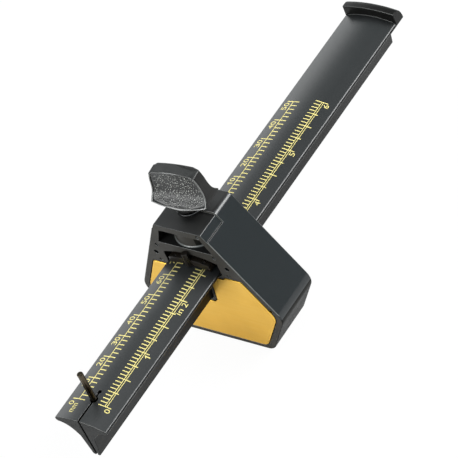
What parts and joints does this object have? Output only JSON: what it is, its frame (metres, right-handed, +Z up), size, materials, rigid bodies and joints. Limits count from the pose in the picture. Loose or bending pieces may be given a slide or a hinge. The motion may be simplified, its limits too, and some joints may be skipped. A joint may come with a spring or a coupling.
{
  "type": "marking gauge",
  "caption": "Marking gauge: a crowned T-section beam with printed scales and a steel pin slides through a shield-shaped head with a brass fence plate and a thumb knob clamp",
  "frame": {"origin": "middle of the head's flat foot, on which the gauge stands", "axes": "+Z up, +Y along the beam from the marking pin toward the stop lip, +X to the right seen from the pin end"},
  "size_m": [0.0634, 0.2125, 0.0815],
  "materials": {
    "head_plastic": "satin black moulded plastic",
    "fence_brass": "satin brass sheet",
    "beam_plastic": "satin black with yellow printed scales",
    "pin_steel": "dark polished steel",
    "shoe_plastic": "matt dark grey",
    "screw_steel": "bright steel",
    "washer_steel": "blackened steel",
    "knob_plastic": "black plastic, grained on its broad faces"
  },
  "bodies": {
    "head": {"head_body": "head_plastic", "fence_plate": "fence_brass"},
    "beam": {"beam": "beam_plastic"},
    "pin": {"marking_pin": "pin_steel"},
    "shoe": {"pressure_shoe": "shoe_plastic"},
    "knob": {"thumb_knob": "knob_plastic", "clamp_screw": "screw_steel", "knob_washer": "washer_steel"}
  },
  "joints": [
    {"name": "beam_slide", "type": "slide", "parent": "head", "child": "beam", "axis": [0, 1, 0], "range_m": [-0.1066, 0.0619]},
    {"name": "pin_slide", "type": "slide", "parent": "beam", "child": "pin", "axis": [0, 0, 1], "range_m": [-0.012, 0.004]},
    {"name": "shoe_lift", "type": "slide", "parent": "head", "child": "shoe", "axis": [0, 0, 1], "range_m": [0, 0.001]},
    {"name": "knob_turn", "type": "hinge", "parent": "shoe", "child": "knob", "pos_m": [0, 0, 0.07], "axis": [0, 0, 1], "range_deg": [0, 360]}
  ],
  "couplings": [
    {"joint": "shoe_lift", "follows": "knob_turn", "m_per_rad": 0.000159}
  ]
}
